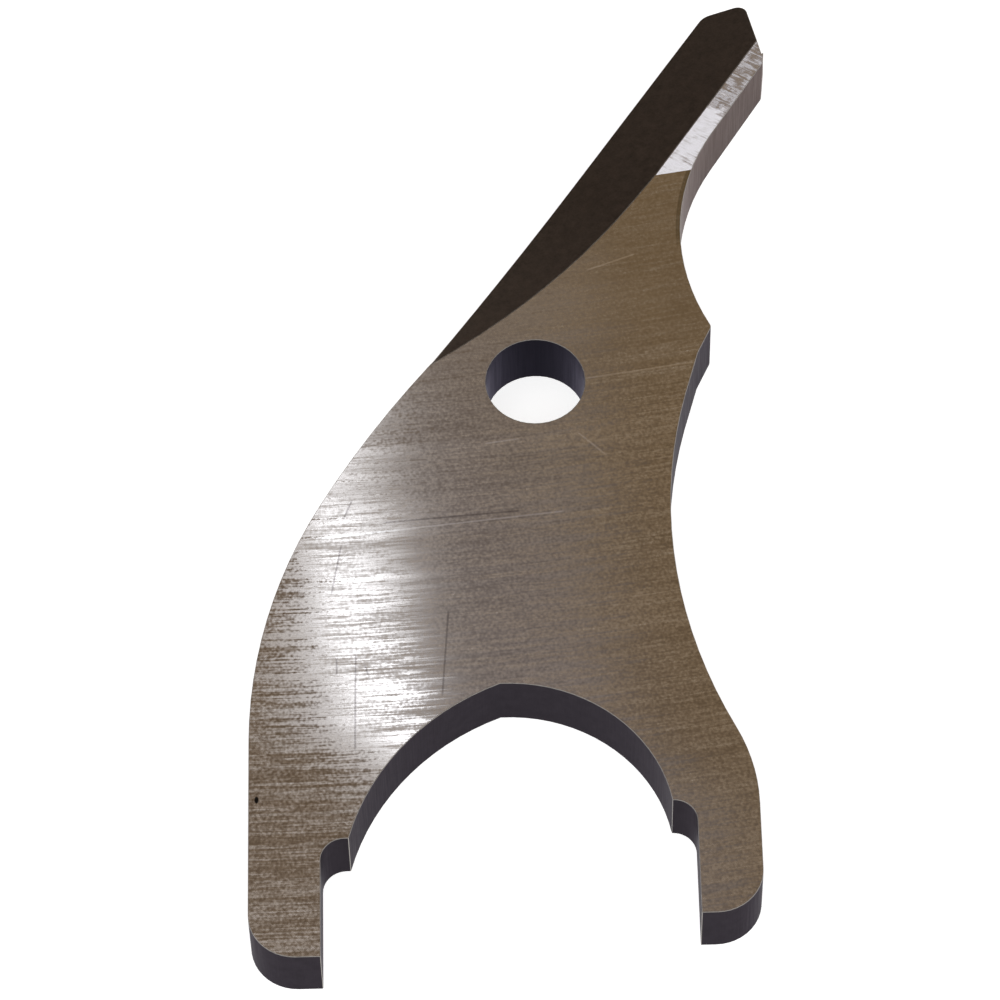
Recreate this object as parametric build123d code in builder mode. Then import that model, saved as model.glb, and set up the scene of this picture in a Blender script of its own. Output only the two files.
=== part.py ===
from build123d import *
from math import atan2, cos, hypot, radians, sin, sqrt, tan
import os

# Centre blade of a powered double-cut shear: one plate of hardened tool steel, in millimetres.
# The origin is the middle of the pivot bore at mid-thickness. +Z is the ground front face, the
# fork opens to -Y, and the cutting finger reaches towards +Y and leans to +X.

THICKNESS = 5.5
FRONT_Z = THICKNESS / 2
BACK_Z = -THICKNESS / 2

# Pivot bore, for the 8 mm pivot sleeve that joins the three blades.
BORE_DIAMETER = 8.1

# Fork. Its arch embraces the 26 mm ball bearing of the drive, and its left half is relieved.
BEARING_DIAMETER = 26.0
FORK_AXIS_X = -3.0
FORK_GAP = 29.3
ARCH_CENTRE = (-3.05, -41.3)
ARCH_CREST_X = -3.45
ARCH_RELIEF_RADIUS = 20.0
LEFT_STEP = (-15.45, -41.8)
RIGHT_STEP_Y = -39.1
STEP_RADIUS = 1.85
LEFT_PRONG_WIDTH = 5.6
RIGHT_PRONG_WIDTH = 4.9
LEFT_PRONG_END_Y = -52.0
RIGHT_PRONG_END_Y = -49.0
PRONG_CORNER_RADIUS = 3.7

# Outer curves of the body: the convex back on the left, in two arcs, the concave waist on the
# right, and the concave neck above it. The waist and the neck meet in a knuckle.
BACK_TANGENT_Y = -33.0
BACK_LOWER_RADIUS = 44.0
BACK_LOWER_TURN = 29.3
BACK_UPPER_RADIUS = 94.5
WAIST_LOW_POINT = (10.6, -13.4)
WAIST_RADIUS = 44.5
WAIST_FLAT_ENDS_Y = (2.4, -1.55)
WAIST_FLAT_INSET = 0.15
SHOULDER_RADIUS = 15.4
NECK_LOW_POINT = (12.36, 14.0)
NECK_RADIUS = 19.5
KNUCKLE_RADIUS = 0.5

# Cutting finger: the cutting edge on its left, the plain edge on its right and the end.
CUTTING_EDGE_ANGLE = 56.8
CUTTING_EDGE_OFFSET = 8.15
PLAIN_EDGE_ANGLE = 57.6
HEEL = (19.98, 31.7)
END_BOTTOM_RIGHT = (20.27, 34.4)
END_SIDE_ANGLE = 102.3
END_POINT = (18.0, 38.62)
END_ANGLE = 10.5
TIP_RADIUS = 1.4
END_CORNER_RADIUS = 1.0
HEEL_RADIUS = 0.6

# Ground bevel along the cutting edge. The grinding wheel runs out of it in a long curve.
BEVEL_CREASE_START = (10.48, 20.2)
BEVEL_ANGLE = 17.4
BEVEL_PITCH = 1.1
BEVEL_FLAT_START = -3.6
WHEEL_RADIUS = 193.0
WHEEL_ARC = -12.0

# Small facet ground on the front face beside the bevel, falling gently to the end.
FACET_START_ANGLE = 9.0
FACET_FALL = 1.5

# Relief ground on the end face, leaning back from the back face to the front face.
RELIEF_START_Y = 32.9
RELIEF_ANGLE = 7.6

CUTTER_REACH = 30.0


def direction(angle):
    return cos(radians(angle)), sin(radians(angle))


def lines_meet(start_a, angle_a, start_b, angle_b):
    """The point where two lines meet, each given by a point and a direction in degrees."""
    ax, ay = direction(angle_a)
    bx, by = direction(angle_b)
    dx = start_b[0] - start_a[0]
    dy = start_b[1] - start_a[1]
    along = (dx * by - dy * bx) / (ax * by - ay * bx)
    return start_a[0] + along * ax, start_a[1] + along * ay


def circle_x(centre, radius, y, side):
    """The x of a circle at height y, on its right for side 1 or on its left for side -1."""
    return centre[0] + side * sqrt(radius**2 - (y - centre[1]) ** 2)


def circles_meet(centre_a, radius_a, centre_b, radius_b):
    """The left one of the two points where two circles meet."""
    dx = centre_b[0] - centre_a[0]
    dy = centre_b[1] - centre_a[1]
    gap = hypot(dx, dy)
    along = (radius_a**2 - radius_b**2 + gap**2) / (2 * gap)
    across = sqrt(radius_a**2 - along**2)
    middle_x = centre_a[0] + along * dx / gap
    middle_y = centre_a[1] + along * dy / gap
    meets = [
        (middle_x + across * dy / gap, middle_y - across * dx / gap),
        (middle_x - across * dy / gap, middle_y + across * dx / gap),
    ]
    return min(meets)


def line_meets_circle(start, angle, centre, radius):
    """The further one of the two points where a line meets a circle, along the line."""
    ux, uy = direction(angle)
    dx = start[0] - centre[0]
    dy = start[1] - centre[1]
    middle = -(dx * ux + dy * uy)
    half_chord = sqrt(radius**2 - (dx * uy - dy * ux) ** 2)
    along = middle + half_chord
    return start[0] + along * ux, start[1] + along * uy


# Fork: inner edges, outer edges and the ends of the arch.
inner_left_x = FORK_AXIS_X - FORK_GAP / 2
inner_right_x = FORK_AXIS_X + FORK_GAP / 2
outer_left_x = inner_left_x - LEFT_PRONG_WIDTH
outer_right_x = inner_right_x + RIGHT_PRONG_WIDTH
arch_radius = BEARING_DIAMETER / 2
arch_crest = (ARCH_CREST_X, ARCH_CENTRE[1] + sqrt(arch_radius**2 - (ARCH_CREST_X - ARCH_CENTRE[0]) ** 2))
right_step = (circle_x(ARCH_CENTRE, arch_radius, RIGHT_STEP_Y, 1), RIGHT_STEP_Y)

# Right outline, from the waist up to the neck.
waist_centre = (WAIST_LOW_POINT[0] + WAIST_RADIUS, WAIST_LOW_POINT[1])
neck_centre = (NECK_LOW_POINT[0] + NECK_RADIUS, NECK_LOW_POINT[1])
knuckle = circles_meet(waist_centre, WAIST_RADIUS, neck_centre, NECK_RADIUS)
flat_top_y, flat_bottom_y = WAIST_FLAT_ENDS_Y
flat_top = (circle_x(waist_centre, WAIST_RADIUS, flat_top_y, -1) - WAIST_FLAT_INSET, flat_top_y)
flat_bottom = (circle_x(waist_centre, WAIST_RADIUS, flat_bottom_y, -1), flat_bottom_y)

# The convex shoulder touches the outer edge of the right prong and the waist.
shoulder_x = outer_right_x - SHOULDER_RADIUS
centre_gap = WAIST_RADIUS + SHOULDER_RADIUS
shoulder_y = waist_centre[1] - sqrt(centre_gap**2 - (waist_centre[0] - shoulder_x) ** 2)
share = SHOULDER_RADIUS / centre_gap
shoulder_end = (
    shoulder_x + share * (waist_centre[0] - shoulder_x),
    shoulder_y + share * (waist_centre[1] - shoulder_y),
)

# Left outline: two tangent arcs run up from the left prong to the root of the cutting edge.
back_x, back_y = direction(180 - BACK_LOWER_TURN)
lower_centre = (outer_left_x + BACK_LOWER_RADIUS, BACK_TANGENT_Y)
back_join = (lower_centre[0] + BACK_LOWER_RADIUS * back_x, lower_centre[1] + BACK_LOWER_RADIUS * back_y)
upper_centre = (back_join[0] - BACK_UPPER_RADIUS * back_x, back_join[1] - BACK_UPPER_RADIUS * back_y)
edge_x, edge_y = direction(CUTTING_EDGE_ANGLE)
edge_foot = (-CUTTING_EDGE_OFFSET * edge_y, CUTTING_EDGE_OFFSET * edge_x)
edge_root = line_meets_circle(edge_foot, CUTTING_EDGE_ANGLE, upper_centre, BACK_UPPER_RADIUS)

# Finger: the plain edge leaves the neck along a tangent.
plain_x, plain_y = direction(PLAIN_EDGE_ANGLE)
neck_end = (neck_centre[0] - NECK_RADIUS * plain_y, neck_centre[1] + NECK_RADIUS * plain_x)
tip_corner = lines_meet(edge_foot, CUTTING_EDGE_ANGLE, END_POINT, END_ANGLE)
end_corner = lines_meet(END_BOTTOM_RIGHT, END_SIDE_ANGLE, END_POINT, END_ANGLE)


def arc_middle(centre, radius, start, end):
    """The point of a circle halfway between two of its points, the short way round."""
    toward = atan2((start[1] + end[1]) / 2 - centre[1], (start[0] + end[0]) / 2 - centre[0])
    return centre[0] + radius * cos(toward), centre[1] + radius * sin(toward)


def arc(centre, radius, start, end):
    """A line element for the short arc of a circle between two of its points."""
    return ThreePointArc(start, arc_middle(centre, radius, start, end), end)


with BuildPart() as center_blade:
    # Outer outline. The two prongs are parted later by the fork opening.
    with BuildSketch(Plane.XY.offset(BACK_Z)) as outline:
        with BuildLine():
            arc(lower_centre, BACK_LOWER_RADIUS, (outer_left_x, BACK_TANGENT_Y), back_join)
            arc(upper_centre, BACK_UPPER_RADIUS, back_join, edge_root)
            Polyline(edge_root, tip_corner, end_corner, END_BOTTOM_RIGHT, HEEL, neck_end)
            arc(neck_centre, NECK_RADIUS, neck_end, knuckle)
            Polyline(knuckle, flat_top, flat_bottom)
            arc(waist_centre, WAIST_RADIUS, flat_bottom, shoulder_end)
            arc((shoulder_x, shoulder_y), SHOULDER_RADIUS, shoulder_end, (outer_right_x, shoulder_y))
            Polyline(
                (outer_right_x, shoulder_y),
                (outer_right_x, RIGHT_PRONG_END_Y),
                (FORK_AXIS_X, RIGHT_PRONG_END_Y),
                (FORK_AXIS_X, LEFT_PRONG_END_Y),
                (outer_left_x, LEFT_PRONG_END_Y),
                (outer_left_x, BACK_TANGENT_Y),
            )
        make_face()
        for corner, radius in (
            ((outer_left_x, LEFT_PRONG_END_Y), PRONG_CORNER_RADIUS),
            ((outer_right_x, RIGHT_PRONG_END_Y), PRONG_CORNER_RADIUS),
            (knuckle, KNUCKLE_RADIUS),
            (tip_corner, TIP_RADIUS),
            (HEEL, HEEL_RADIUS),
        ):
            fillet(outline.vertices().sort_by_distance((*corner, BACK_Z))[0], radius)
    extrude(amount=THICKNESS)

    # Relief of the end face: a wedge with its thin end at the back face. The leaning edge that it
    # leaves at the far corner is rounded.
    side_x, side_y = direction(END_SIDE_ANGLE)
    wedge_x = END_BOTTOM_RIGHT[0] + (RELIEF_START_Y - END_BOTTOM_RIGHT[1]) * side_x / side_y
    wedge_plane = Plane(
        origin=(wedge_x, RELIEF_START_Y, BACK_Z),
        x_dir=(side_y, -side_x, 0),
        z_dir=(-side_x, -side_y, 0),
    )
    with BuildSketch(wedge_plane):
        with BuildLine():
            Polyline(
                (0, 0),
                (-THICKNESS * tan(radians(RELIEF_ANGLE)), THICKNESS),
                (THICKNESS, THICKNESS),
                (THICKNESS, 0),
                close=True,
            )
        make_face()
    extrude(amount=-CUTTER_REACH, mode=Mode.SUBTRACT)
    fillet(center_blade.edges().sort_by_distance((*end_corner, 0))[0], END_CORNER_RADIUS)

    # Fork opening: the arch, a rounded step at each of its feet, and the gap between the prongs.
    with BuildSketch(Plane.XY.offset(BACK_Z)) as opening:
        with BuildLine():
            RadiusArc(LEFT_STEP, arch_crest, ARCH_RELIEF_RADIUS)
            arc(ARCH_CENTRE, arch_radius, arch_crest, right_step)
            Polyline(
                right_step,
                (inner_right_x, RIGHT_STEP_Y),
                (inner_right_x, LEFT_PRONG_END_Y),
                (inner_left_x, LEFT_PRONG_END_Y),
                (inner_left_x, LEFT_STEP[1]),
                LEFT_STEP,
            )
        make_face()
        for step_corner in ((inner_left_x, LEFT_STEP[1]), (inner_right_x, RIGHT_STEP_Y)):
            fillet(opening.vertices().sort_by_distance((*step_corner, BACK_Z))[0], STEP_RADIUS)
    extrude(amount=THICKNESS, mode=Mode.SUBTRACT)

    Hole(radius=BORE_DIAMETER / 2)

    # Bevel: a flat along the finger, then the arc of the wheel, swept across the cutting edge.
    bevel_plane = Plane(
        origin=(*BEVEL_CREASE_START, FRONT_Z),
        x_dir=(edge_x, edge_y, -tan(radians(BEVEL_PITCH))),
        z_dir=(edge_y, -edge_x, tan(radians(BEVEL_ANGLE))),
    )
    with BuildSketch(bevel_plane):
        with BuildLine():
            run_out = JernArc((BEVEL_FLAT_START, 0), (-1, 0), WHEEL_RADIUS, WHEEL_ARC)
            Polyline(
                run_out @ 1,
                ((run_out @ 1).X, CUTTER_REACH),
                (CUTTER_REACH, CUTTER_REACH),
                (CUTTER_REACH, 0),
                (BEVEL_FLAT_START, 0),
            )
        make_face()
    extrude(amount=CUTTER_REACH, both=True, mode=Mode.SUBTRACT)

    # Facet: a slab that starts at a line across the finger and sinks slowly towards its end.
    start_x, start_y = direction(FACET_START_ANGLE)
    fall = sin(radians(FACET_FALL))
    facet_plane = Plane(
        origin=(*BEVEL_CREASE_START, FRONT_Z),
        x_dir=(start_x, start_y, 0),
        z_dir=(-start_y * fall, start_x * fall, cos(radians(FACET_FALL))),
    )
    with BuildSketch(facet_plane):
        Rectangle(CUTTER_REACH, CUTTER_REACH, align=(Align.CENTER, Align.MIN))
    extrude(amount=THICKNESS, mode=Mode.SUBTRACT)

center_blade.part.label = "center_blade"
os.makedirs("parts", exist_ok=True)
export_step(center_blade.part, "parts/center_blade.step")
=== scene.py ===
from math import cos, radians, sin

import bmesh
import bpy
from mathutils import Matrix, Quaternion, Vector


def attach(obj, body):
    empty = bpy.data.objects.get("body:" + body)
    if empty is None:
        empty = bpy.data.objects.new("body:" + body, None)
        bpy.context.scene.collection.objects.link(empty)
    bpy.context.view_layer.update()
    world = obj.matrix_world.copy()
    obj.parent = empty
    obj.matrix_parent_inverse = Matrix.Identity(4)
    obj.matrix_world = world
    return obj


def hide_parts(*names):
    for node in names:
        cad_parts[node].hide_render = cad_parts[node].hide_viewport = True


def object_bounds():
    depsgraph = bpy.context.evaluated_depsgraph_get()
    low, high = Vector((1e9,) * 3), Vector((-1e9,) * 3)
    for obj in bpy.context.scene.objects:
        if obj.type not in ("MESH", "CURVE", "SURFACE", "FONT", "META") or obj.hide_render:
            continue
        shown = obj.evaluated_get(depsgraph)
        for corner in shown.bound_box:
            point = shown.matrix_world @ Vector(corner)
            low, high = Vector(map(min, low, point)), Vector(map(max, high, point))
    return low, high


# Looks of the centre blade of a powered shear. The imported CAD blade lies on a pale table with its
# ground face up. The finishes are painted in millimetres, the rest of the script is in metres.

MM = 0.001

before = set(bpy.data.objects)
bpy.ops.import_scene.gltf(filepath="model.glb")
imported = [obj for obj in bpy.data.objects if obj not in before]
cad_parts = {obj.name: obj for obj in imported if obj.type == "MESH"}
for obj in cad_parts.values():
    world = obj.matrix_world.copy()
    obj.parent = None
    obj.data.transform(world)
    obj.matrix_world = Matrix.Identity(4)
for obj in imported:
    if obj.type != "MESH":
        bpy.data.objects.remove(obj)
cad_low, cad_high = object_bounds()
scene = bpy.context.scene
scene.view_settings.view_transform = "Standard"

# Camera: the direction that it looks from and its roll, in degrees, and the point that it looks at.
CAMERA_AZIMUTH = 0.05
CAMERA_ELEVATION = 58.15
CAMERA_ROLL = -1.43
CAMERA_TARGET = (-0.0031, -0.0096, 0)
CAMERA_DISTANCE = 0.4455
CAMERA_LENS = 198.07


def add_object(name, data):
    made = bpy.data.objects.new(name, data)
    scene.collection.objects.link(made)
    return made


def from_sky(azimuth, elevation):
    """The unit vector towards a place in the sky. Azimuth 0 is over -Y and 90 over +X."""
    flat = cos(radians(elevation))
    return Vector((sin(radians(azimuth)) * flat, -cos(radians(azimuth)) * flat, sin(radians(elevation))))


def facing(backwards, turn):
    """The rotation of a camera or lamp that has a direction behind it, turned about its own axis."""
    return backwards.to_track_quat("Z", "Y") @ Quaternion((0, 0, 1), radians(turn))


camera = add_object("camera", bpy.data.cameras.new("camera"))
camera.data.lens = CAMERA_LENS
camera.data.sensor_width = 36
camera.data.clip_start = 0.01
camera.rotation_mode = "QUATERNION"
towards_camera = from_sky(CAMERA_AZIMUTH, CAMERA_ELEVATION)
camera.location = Vector(CAMERA_TARGET) + towards_camera * CAMERA_DISTANCE
camera.rotation_quaternion = facing(towards_camera, CAMERA_ROLL)
scene.camera = camera


class Tree:
    """Short names for building a node tree. A value is a socket or a constant."""

    def __init__(self, owner):
        owner.use_nodes = True
        self.nodes = owner.node_tree.nodes
        self.links = owner.node_tree.links

    def feed(self, socket, value):
        if isinstance(value, bpy.types.NodeSocket):
            self.links.new(value, socket)
        elif value is not None:
            socket.default_value = value

    def add(self, kind, *values, **settings):
        node = self.nodes.new("ShaderNode" + kind)
        for name, setting in settings.items():
            setattr(node, name, setting)
        for socket, value in zip(node.inputs, values):
            self.feed(socket, value)
        return node

    def math(self, operation, a, b=None, c=None):
        return self.add("Math", a, b, c, operation=operation).outputs[0]

    def vector(self, operation, a, b=None):
        node = self.add("VectorMath", a, b, operation=operation)
        return node.outputs["Value" if operation in ("DOT_PRODUCT", "LENGTH") else "Vector"]

    def scaled(self, vector, factor):
        node = self.add("VectorMath", vector, operation="SCALE")
        self.feed(node.inputs["Scale"], factor)
        return node.outputs["Vector"]

    def sum(self, *values):
        total = values[0]
        for value in values[1:]:
            total = self.math("ADD", total, value)
        return total

    def weigh(self, *pairs):
        """The products of (value, weight) pairs."""
        return [self.math("MULTIPLY", value, weight) for value, weight in pairs]

    def split(self, vector):
        return self.add("SeparateXYZ", vector).outputs

    def join(self, x, y, z=0.0):
        return self.add("CombineXYZ", x, y, z).outputs[0]

    def step(self, value, start, end, low=0.0, high=1.0):
        """Goes smoothly from low to high while the value goes from start to end."""
        node = self.add("MapRange", value, start, end, low, high, interpolation_type="SMOOTHSTEP")
        return node.outputs["Result"]

    def mix(self, factor, a, b, blend="MIX"):
        node = self.add("Mix", data_type="RGBA", blend_type=blend)
        self.feed(node.inputs[0], factor)
        self.feed(node.inputs[6], a)
        self.feed(node.inputs[7], b)
        return node.outputs[2]

    def noise(self, vector, scale, detail, roughness):
        """Noise centred on zero, mostly within -0.5 and 0.5."""
        node = self.add("TexNoise", normalize=True)
        self.feed(node.inputs["Vector"], vector)
        self.feed(node.inputs["Scale"], scale)
        self.feed(node.inputs["Detail"], detail)
        self.feed(node.inputs["Roughness"], roughness)
        return self.math("SUBTRACT", node.outputs[0], 0.5)


class Finish(Tree):
    """A metal material of the blade, painted by the place on the blade in millimetres."""

    def __init__(self, name):
        self.material = bpy.data.materials.new(name)
        super().__init__(self.material)
        self.shader = self.nodes["Principled BSDF"]
        self.shader.inputs["Metallic"].default_value = 1.0
        self.place = self.scaled(self.add("TexCoord").outputs["Object"], 1 / MM)
        self.x, self.y, self.z = self.split(self.place)
        self.normal = self.add("NewGeometry").outputs["Normal"]

    def set(self, name, value):
        self.feed(self.shader.inputs[name], value)

    def lean(self, *leans):
        """Tilts the surface by (direction, slope) pairs."""
        total = self.normal
        for direction, slope in leans:
            total = self.vector("ADD", total, self.scaled(direction, slope))
        self.set("Normal", self.vector("NORMALIZE", total))

    def from_point(self, point):
        """The level vector from a point of the plan to the place."""
        return self.vector("SUBTRACT", self.join(self.x, self.y), (*point, 0))

    def round_grooves(self, centre, radius):
        """Coordinates along and across grooves that run round a far centre, and their directions."""
        away = self.from_point(centre)
        away_x, away_y, _ = self.split(away)
        across = self.vector("LENGTH", away)
        turn = self.math("ARCTAN2", away_x, self.math("MULTIPLY", away_y, -1))
        along = self.math("MULTIPLY", turn, radius)
        across_way = self.vector("NORMALIZE", away)
        along_way = self.vector("CROSS_PRODUCT", (0, 0, 1), across_way)
        return along, across, along_way, across_way

    def straight_grooves(self, angle):
        """The same for straight grooves at an angle to +X."""
        along_way = Vector((cos(radians(angle)), sin(radians(angle)), 0))
        across_way = Vector((-along_way.y, along_way.x, 0))
        along = self.vector("DOT_PRODUCT", self.place, along_way)
        across = self.vector("DOT_PRODUCT", self.place, across_way)
        return along, across, along_way, across_way

    def streaks(self, along, across, length, width, detail, roughness):
        stretched = self.join(
            self.math("MULTIPLY", along, 1 / length),
            self.math("MULTIPLY", across, 1 / width),
            self.math("MULTIPLY", self.z, 0.2),
        )
        return self.noise(stretched, 1.0, detail, roughness)

    def on_front(self):
        """One near the front face, zero below it."""
        return self.step(self.z, 2.0, 2.5)

    def scratch(self, start, end, width):
        """One along a straight scratch in the front face, zero away from it."""
        whole = Vector(end) - Vector(start)
        way = whole.normalized()
        from_start = self.from_point(start)
        along = self.vector("DOT_PRODUCT", from_start, (way.x, way.y, 0))
        aside = self.vector("DOT_PRODUCT", from_start, (-way.y, way.x, 0))
        line = self.step(self.math("ABSOLUTE", aside), width, 0.3 * width)
        past_start = self.step(along, -0.2, 0.3)
        before_end = self.step(along, whole.length + 0.2, whole.length - 0.3)
        between = self.math("MULTIPLY", past_start, before_end)
        return self.math("MULTIPLY", self.math("MULTIPLY", line, between), self.on_front())

    def spot(self, centre, half_width, half_height):
        """One in a small oval of the front face, zero outside."""
        reach = self.vector("DIVIDE", self.from_point(centre), (half_width, half_height, 1))
        return self.math("MULTIPLY", self.step(self.vector("LENGTH", reach), 1.2, 0.8), self.on_front())


# The grooves of the ground faces run round a far centre.
GRIND_CENTRE = (-24.0, 205.0)
GRIND_RADIUS = 205.0
LEAST_ROUGHNESS = 0.105

# Over the prongs the face leans very slightly sideways.
LEAN_STARTS = -30.0
LEAN_IS_FULL = -42.0
PRONG_LEAN = -0.02

# Handling marks in the front face: both ends of each scratch, and a pit.
DARK_SCRATCHES = (
    ((-15.9, -15.3), (-16.7, -19.8)),
    ((-7.4, -21.5), (-8.0, -29.3)),
    ((-16.3, -25.6), (-16.3, -27.2)),
    ((-14.8, -25.3), (-14.9, -34.0)),
    ((-14.1, -26.3), (-13.8, -27.3)),
    ((-15.0, -11.0), (-15.7, -12.8)),
    ((-12.5, -13.2), (-1.5, -12.35)),
)
LIGHT_SCRATCHES = (
    ((3.0, 0.0), (13.0, 1.5)),
    ((4.5, 10.8), (8.5, 12.3)),
    ((-18.0, -14.6), (2.0, -12.5)),
    ((-4.2, -5.9), (-1.4, -5.5)),
    ((3.3, -5.0), (5.6, -7.3)),
)
SCRATCH_WIDTH = 0.11
PIT = (-22.6, -38.25)
PIT_HALF_WIDTH = 0.16
PIT_HALF_HEIGHT = 0.3

# A narrow strip of painted shade runs along the hollow side of the neck, for a small chamfer there that
# the mesh does not have.
NECK_CENTRE = (31.86, 14.0)
NECK_RADIUS = 19.5
STRIP_WIDTH = 0.42


def ground_steel(made, grain):
    """The steel's colour: cloudy and streaked, calmer up the finger, with a painted cool reflection on
    the left.
    """
    calm = made.step(made.y, -6.0, 8.0, 1.0, 0.45)
    cloud = made.math("MULTIPLY_ADD", made.noise(made.place, 0.12, 3.0, 0.5), 0.5, 0.5)
    tone = made.math("MULTIPLY_ADD", grain, calm, cloud)
    steel = made.mix(tone, (0.36, 0.32, 0.27, 1), (0.64, 0.59, 0.51, 1))
    # Painted light: a cool tint towards the left, where the steel reflects the bluish light beside the
    # bright band.
    painted_cool_light = made.step(made.math("MULTIPLY_ADD", made.y, 0.4, made.x), 4.0, -14.0)
    return made.mix(painted_cool_light, steel, (1.0, 1.03, 1.14, 1), "MULTIPLY")


def handling_marks(made, steel):
    """The steel's colour with the scratches and the pit drawn over it."""
    for ends in LIGHT_SCRATCHES:
        mark = made.scratch(*ends, SCRATCH_WIDTH)
        steel = made.mix(made.math("MULTIPLY", mark, 0.4), steel, (0.95, 0.95, 0.95, 1))
    for ends in DARK_SCRATCHES:
        mark = made.scratch(*ends, SCRATCH_WIDTH)
        steel = made.mix(made.math("MULTIPLY", mark, 0.45), steel, (0.07, 0.055, 0.06, 1))
    pit = made.spot(PIT, PIT_HALF_WIDTH, PIT_HALF_HEIGHT)
    return made.mix(pit, steel, (0.02, 0.02, 0.02, 1))


def painted_neck_shade(made, steel):
    """The steel's colour with a strip of painted shade along the neck drawn over it."""
    from_neck = made.vector("LENGTH", made.from_point(NECK_CENTRE))
    near_rim = made.step(from_neck, NECK_RADIUS + STRIP_WIDTH, NECK_RADIUS + 0.8 * STRIP_WIDTH)
    strip = made.math("MULTIPLY", near_rim, made.step(made.y, 12.5, 14.5))
    return made.mix(made.math("MULTIPLY", strip, 0.5), steel, (0.17, 0.15, 0.09, 1))


def ground_face():
    """The flat faces: grinding passes, long and short streaks and fine grit, then the marks."""
    made = Finish("ground_face")
    along, across, along_way, across_way = made.round_grooves(GRIND_CENTRE, GRIND_RADIUS)
    passes = made.streaks(along, across, 40.0, 0.9, 2.0, 0.5)
    long_streaks = made.streaks(along, across, 22.0, 0.24, 1.0, 0.7)
    short_streaks = made.streaks(along, across, 3.2, 0.17, 1.0, 0.8)
    grit = made.noise(made.place, 4.5, 0.0, 0.6)
    along_slope = made.sum(
        *made.weigh((passes, 0.010), (long_streaks, 0.016), (short_streaks, 0.022), (grit, 0.010)),
        made.step(made.y, LEAN_STARTS, LEAN_IS_FULL, 0.0, PRONG_LEAN),
    )
    across_slope = made.sum(*made.weigh((long_streaks, 0.05), (short_streaks, 0.06), (grit, 0.03)))
    made.lean((along_way, along_slope), (across_way, across_slope))
    dullness = made.sum(
        0.145,
        *made.weigh((passes, 0.08), (long_streaks, 0.18), (short_streaks, 0.26), (grit, 0.14)),
    )
    made.set("Roughness", made.math("MAXIMUM", dullness, LEAST_ROUGHNESS))
    made.set("Anisotropic", 0.95)
    made.set("Tangent", across_way)
    grain = made.sum(*made.weigh((long_streaks, 0.8), (short_streaks, 1.0), (grit, 1.3)))
    steel = handling_marks(made, ground_steel(made, grain))
    made.set("Base Color", painted_neck_shade(made, steel))
    return made.material


def mottled_steel(name, colour, roughness, edge_tint=(1, 1, 1), side_light_gain=1.0, cut_depth=0.1):
    """Steel with a soft mottle and fine upright cuts. The side gain paints light onto the faces that
    look along X.
    """
    made = Finish(name)
    mottle = made.noise(made.place, 1.2, 4.0, 0.6)
    cuts = made.streaks(made.x, made.y, 0.16, 0.16, 1.0, 0.6)
    dark = tuple(c * 0.7 for c in colour)
    light = tuple(c * 1.3 for c in colour)
    tone = made.sum(0.5, mottle, made.math("MULTIPLY", cuts, 0.9))
    paint = made.mix(tone, (*dark, 1), (*light, 1))
    # Painted light: faces that look along X are made lighter by the side gain.
    sideways = made.math("POWER", made.math("ABSOLUTE", made.split(made.normal)[0]), 2.0)
    made.set("Base Color", made.scaled(paint, made.math("MULTIPLY_ADD", sideways, side_light_gain - 1.0, 1.0)))
    made.set("Roughness", made.math("MULTIPLY_ADD", cuts, 0.25, roughness))
    level_way = made.vector("CROSS_PRODUCT", made.normal, (0, 0, 1))
    made.lean((level_way, made.math("MULTIPLY", cuts, cut_depth)))
    made.set("Specular Tint", (*edge_tint, 1))
    return made.material


FACET_GROOVE_ANGLE = -33


def facet():
    """The small facet, with straight grooves of its own. Past a blotchy line it leans less."""
    made = Finish("facet")
    along, across, along_way, across_way = made.straight_grooves(FACET_GROOVE_ANGLE)
    streaks = made.streaks(along, across, 2.5, 0.14, 3.0, 0.6)
    blotches = made.noise(made.place, 0.9, 3.0, 0.6)
    far_half = made.step(made.math("MULTIPLY_ADD", blotches, 3.0, across), 30.5, 32.5)
    along_slope = made.sum(*made.weigh((streaks, 0.05), (blotches, 0.06)))
    across_slope = made.sum(
        *made.weigh((streaks, 0.34), (blotches, 0.28)),
        made.math("MULTIPLY_ADD", far_half, 0.14, -0.26),
    )
    made.lean((along_way, along_slope), (across_way, across_slope))
    made.set("Base Color", (0.76, 0.76, 0.80, 1))
    made.set("Roughness", 0.25)
    made.set("Anisotropic", 0.9)
    made.set("Tangent", across_way)
    return made.material


FINISHES = {
    "ground_face": ground_face(),
    "bevel": mottled_steel("bevel", (0.10, 0.073, 0.055), 0.4, cut_depth=0.02),
    "facet": facet(),
    "cut_wall": mottled_steel("cut_wall", (0.030, 0.026, 0.031), 0.5, (0.62, 0.60, 0.63)),
    # The bore wall's colour is painted shade: far darker than the other cut walls, for the little light
    # inside the bore.
    "bore_wall": mottled_steel("bore_wall", (0.0022, 0.0020, 0.0036), 0.45, (0.85, 0.82, 0.95)),
    # The finger wall gets painted light on its faces that look along X.
    "finger_wall": mottled_steel("finger_wall", (0.034, 0.025, 0.0235), 0.45, (0.95, 0.87, 0.85), 1.7),
    "worn_edge": mottled_steel("worn_edge", (0.3, 0.28, 0.26), 0.4),
}
SLOTS = list(FINISHES)

# The least upward part of the normal on a level face, on the facet and on the bevel.
LEVEL = 0.99999
FACET_AT_LEAST = 0.999
BEVEL_AT_LEAST = 0.5

BORE_REACH = 4.2 * MM
FINGER_START = 8.0 * MM
TOWARDS_X = 0.3

WELD = 1e-6
FLAT_ANGLE = radians(0.05)
SHARP_ANGLE = radians(15)
EDGE_WIDTH = 0.05 * MM


def finish_of(face):
    """Which finish a face of the blade has, by where it is and where it looks."""
    normal = face.normal
    middle = face.calc_center_median()
    if abs(normal.z) > LEVEL:
        return "ground_face"
    if normal.z > FACET_AT_LEAST:
        return "facet"
    if normal.z > BEVEL_AT_LEAST:
        return "bevel"
    if middle.xy.length < BORE_REACH:
        return "bore_wall"
    if middle.y > FINGER_START and normal.x > TOWARDS_X:
        return "finger_wall"
    return "cut_wall"


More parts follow.
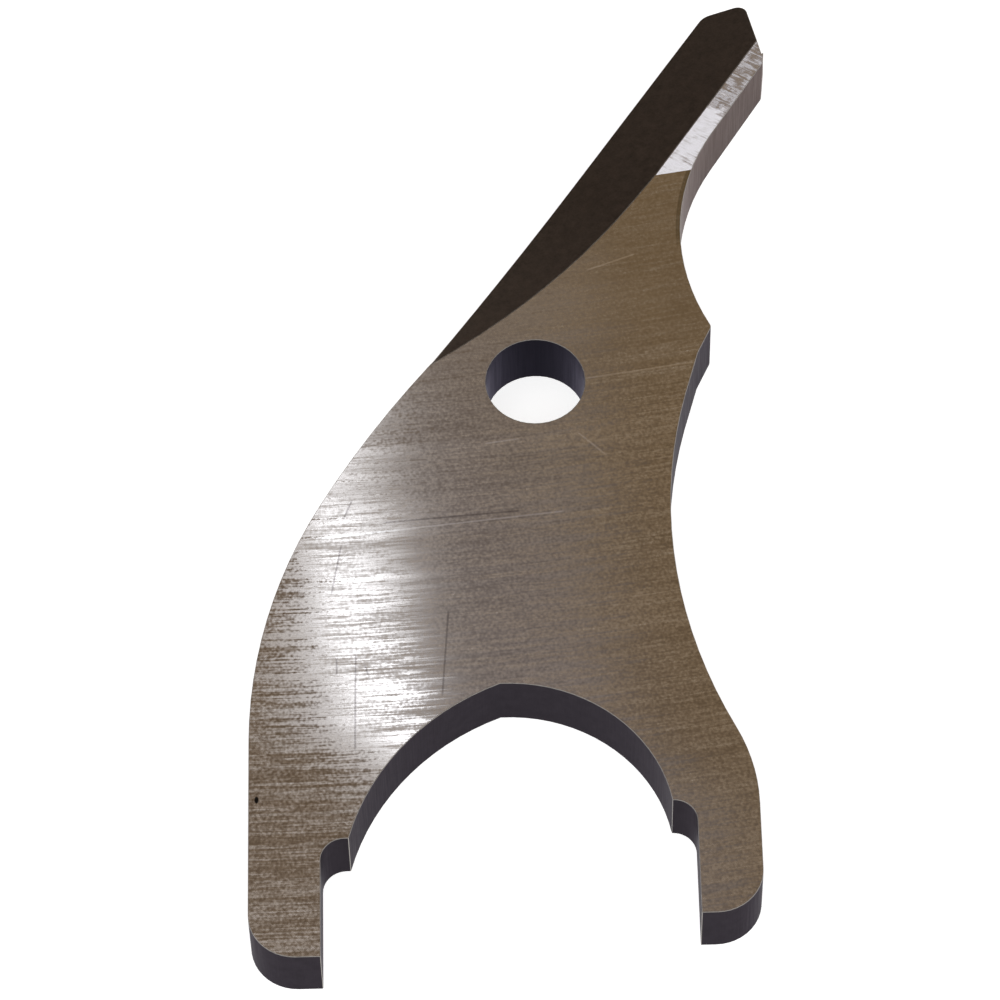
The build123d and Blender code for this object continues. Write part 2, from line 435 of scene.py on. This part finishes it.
def mark_edges(shape):
    """Weights the sharp convex edges for rounding, and breaks the shading at the rest and the facet."""
    weights = shape.edges.layers.float.new("bevel_weight_edge")
    facet_slot = SLOTS.index("facet")
    for edge in shape.edges:
        sides = {face.material_index for face in edge.link_faces}
        sharp = edge.calc_face_angle() > SHARP_ANGLE
        if sharp and edge.is_convex:
            edge[weights] = 1.0
        elif sharp or (len(sides) > 1 and facet_slot in sides):
            edge.smooth = False


def wear_edges(blade):
    """Rounds the weighted edges narrowly, and keeps the flat faces flat up to them."""
    worn = blade.modifiers.new("worn_edges", "BEVEL")
    worn.limit_method = "WEIGHT"
    worn.width = EDGE_WIDTH
    worn.segments = 2
    worn.use_clamp_overlap = False
    worn.material = SLOTS.index("worn_edge")
    even = blade.modifiers.new("even_shading", "WEIGHTED_NORMAL")
    even.mode = "FACE_AREA"
    even.weight = 100
    even.keep_sharp = True


def build_blade(node):
    """A clean copy of the CAD blade: flat faces whole again, a finish on each, worn sharp edges."""
    shape = bmesh.new()
    shape.from_mesh(node.data)
    bmesh.ops.remove_doubles(shape, verts=shape.verts, dist=WELD)
    bmesh.ops.dissolve_limit(shape, angle_limit=FLAT_ANGLE, verts=shape.verts, edges=shape.edges)
    shape.normal_update()
    for face in shape.faces:
        face.smooth = True
        face.material_index = SLOTS.index(finish_of(face))
    mark_edges(shape)
    mesh = bpy.data.meshes.new("blade")
    shape.to_mesh(mesh)
    shape.free()
    for finish in FINISHES.values():
        mesh.materials.append(finish)
    blade = add_object("blade", mesh)
    wear_edges(blade)
    return blade


blade = build_blade(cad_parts["center_blade"])
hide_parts("center_blade")
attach(blade, "root")

TABLE_HALF = 6.0
TABLE_GLOW = 0.75


def table_finish():
    """Pale and dull, with a glow of its own that keeps it near white."""
    material = bpy.data.materials.new("table_finish")
    shader = Tree(material).nodes["Principled BSDF"]
    shader.inputs["Base Color"].default_value = (0.85, 0.85, 0.85, 1)
    shader.inputs["Roughness"].default_value = 0.9
    shader.inputs["Specular IOR Level"].default_value = 0.0
    shader.inputs["Emission Color"].default_value = (1, 1, 1, 1)
    shader.inputs["Emission Strength"].default_value = TABLE_GLOW
    # Neither the table nor the sky is sampled as a lamp, so the small lamps get all those samples.
    material.cycles.emission_sampling = "NONE"
    return material


def build_table():
    corners = [(x * TABLE_HALF, y * TABLE_HALF, 0) for x, y in ((-1, -1), (1, -1), (1, 1), (-1, 1))]
    mesh = bpy.data.meshes.new("light_table")
    mesh.from_pydata(corners, [], [(0, 1, 2, 3)])
    mesh.materials.append(table_finish())
    made = add_object("light_table", mesh)
    made.location.z = cad_low.z
    return made


table = build_table()


def add_lamp(name, place, aim, size, power, colour, turn=0.0):
    light = bpy.data.lights.new(name, "AREA")
    light.shape = "RECTANGLE"
    light.size, light.size_y = size
    light.energy = power
    light.color = colour
    made = add_object(name, light)
    made.location = place
    made.rotation_mode = "QUATERNION"
    made.rotation_quaternion = facing(Vector(place) - Vector(aim), turn)


# A narrow window draws the bright band across the ground face, and a dim blue glow beside it cools
# the steel next to the band.
add_lamp(
    "window",
    place=(-0.029, 0.232, 0.430),
    aim=(-0.013, -0.02, 0),
    size=(0.004, 0.05),
    power=0.0135,
    colour=(0.80, 0.87, 0.96),
    turn=18,
)
add_lamp(
    "window_glow",
    place=(-0.004, 0.240, 0.430),
    aim=(-0.004, -0.02, 0),
    size=(0.035, 0.12),
    power=0.0020,
    colour=(0.4, 0.62, 1.0),
)


class Sky(Tree):
    """The world's light, painted by the direction in the sky."""

    def __init__(self, world):
        super().__init__(world)
        self.way = self.add("TexCoord").outputs["Generated"]
        self.height = self.split(self.way)[2]

    def patch(self, azimuth, elevation, outer, inner):
        """One within the inner angle round a place in the sky, zero beyond the outer one."""
        nearness = self.vector("DOT_PRODUCT", self.way, from_sky(azimuth, elevation))
        return self.step(nearness, cos(radians(outer)), cos(radians(inner)))


def light_room():
    """Pale walls, a warm brown ceiling behind the blade, a dark corner beside it and a soft lamp."""
    world = bpy.data.worlds.new("room")
    world.cycles.sampling_method = "NONE"
    scene.world = world
    sky = Sky(world)
    ceiling = sky.patch(180, 58, 48, 30)
    corner = sky.patch(180 + 25, 30, 26, 12)
    softbox = sky.patch(228, 73, 12, 6)
    horizon = sky.step(sky.height, 0.3, 0.05)
    brown = sky.mix(sky.step(sky.height, 0.70, 0.92), (0.28, 0.19, 0.088, 1), (0.288, 0.222, 0.165, 1))
    colour = sky.mix(ceiling, (0.85, 0.86, 0.88, 1), brown)
    colour = sky.mix(horizon, colour, (1, 1, 1, 1))
    colour = sky.mix(corner, colour, (0.03, 0.023, 0.02, 1))
    colour = sky.mix(softbox, colour, (1.6, 1.6, 1.63, 1))
    sky.feed(sky.nodes["Background"].inputs["Color"], colour)


light_room()
